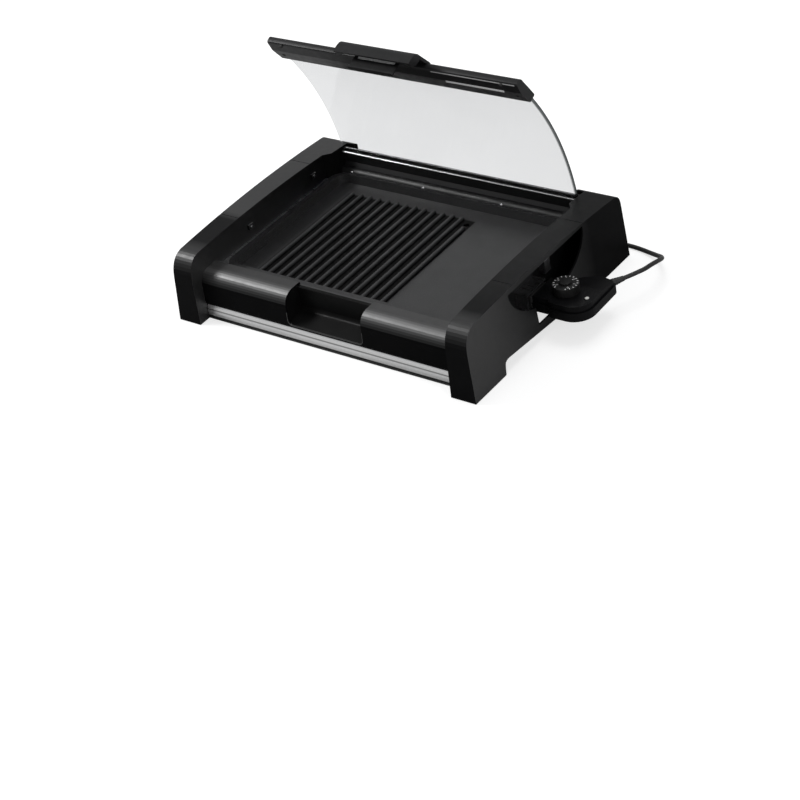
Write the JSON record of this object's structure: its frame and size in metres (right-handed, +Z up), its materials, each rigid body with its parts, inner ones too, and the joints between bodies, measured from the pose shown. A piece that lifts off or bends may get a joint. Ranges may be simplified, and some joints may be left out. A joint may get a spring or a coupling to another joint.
{
  "type": "electric indoor grill",
  "caption": "Electric table-top grill with a hinged glass lid, ribbed cooking plate, slide-out drip tray and plug-in thermostat on a mains lead.",
  "frame": {"origin": "middle of the bottom of the part's box, without its cord and plug, on the surface it stands on", "axes": "+X to the right along the width, seen from the front; +Y to the rear; +Z up"},
  "size_m": [0.663, 0.512, 0.3866],
  "materials": {
    "panel_plastic": "satin",
    "rubber": "matte",
    "fascia_plastic": "semi-gloss",
    "recess_plastic": "satin",
    "black_steel": "satin",
    "shield_steel": "satin",
    "nonstick": "non-stick coating",
    "element_steel": "heat-darkened",
    "terminal_steel": "bright",
    "tray_steel": "satin",
    "tray_front": "brushed",
    "lid_glass": "clear",
    "lid_plastic": "satin",
    "handle_plastic": "satin",
    "thermostat_plastic": "semi-gloss",
    "dial_plastic": "satin",
    "ceramic": "matte",
    "lens_plastic": "clear",
    "cord_rubber": "matte",
    "brass_pin": "bright"
  },
  "bodies": {
    "base": {"end_panel_left": "panel_plastic", "end_panel_right": "panel_plastic", "foot_front_left": "rubber", "foot_front_right": "rubber", "foot_rear_left": "rubber", "foot_rear_right": "rubber", "front_fascia": "fascia_plastic", "handle_recess": "recess_plastic", "base_pan": "black_steel", "heat_shield_left": "shield_steel", "heat_shield_right": "shield_steel", "rear_wall": "black_steel", "hinge_tower_left": "panel_plastic", "hinge_tower_right": "panel_plastic", "grill_plate": "nonstick", "heating_element": "element_steel", "terminal_shroud": "shield_steel", "terminal_pin_front": "terminal_steel", "terminal_pin_rear": "terminal_steel"},
    "lid": {"lid_glass": "lid_glass", "lid_front_bar": "lid_plastic", "lid_rear_bar": "lid_plastic", "lid_handle": "handle_plastic", "lid_tongue": "handle_plastic", "lid_pin_left": "terminal_steel", "lid_pin_right": "terminal_steel", "lid_bumper_left": "rubber", "lid_bumper_right": "rubber"},
    "drip_tray": {"drip_tray": "tray_steel", "drip_tray_front": "tray_front"},
    "thermostat": {"thermostat_base": "thermostat_plastic", "thermostat_cover": "thermostat_plastic", "thermostat_block": "ceramic", "thermostat_probe": "terminal_steel", "thermostat_lens": "lens_plastic", "strain_relief": "cord_rubber", "cord": "cord_rubber", "cord_coil": "cord_rubber", "cord_tail": "cord_rubber", "mains_plug": "cord_rubber", "plug_pin_left": "brass_pin", "plug_pin_right": "brass_pin"},
    "dial": {"thermostat_dial": "dial_plastic", "thermostat_knob": "dial_plastic"}
  },
  "joints": [
    {"name": "lid_hinge", "type": "hinge", "parent": "base", "child": "lid", "pos_m": [-0.03254, 0.1765, 0.066], "axis": [1, 0, 0], "range_deg": [0, 66]},
    {"name": "tray_slide", "type": "slide", "parent": "base", "child": "drip_tray", "axis": [0, -1, 0], "range_m": [0, 0.28]},
    {"name": "thermostat_unplug", "type": "slide", "parent": "base", "child": "thermostat", "axis": [1, 0, 0], "range_m": [0, 0.08]},
    {"name": "dial_turn", "type": "hinge", "parent": "thermostat", "child": "dial", "pos_m": [0.27046, 0.01, 0.07], "axis": [0, 0, -1], "range_deg": [0, 270]}
  ]
}
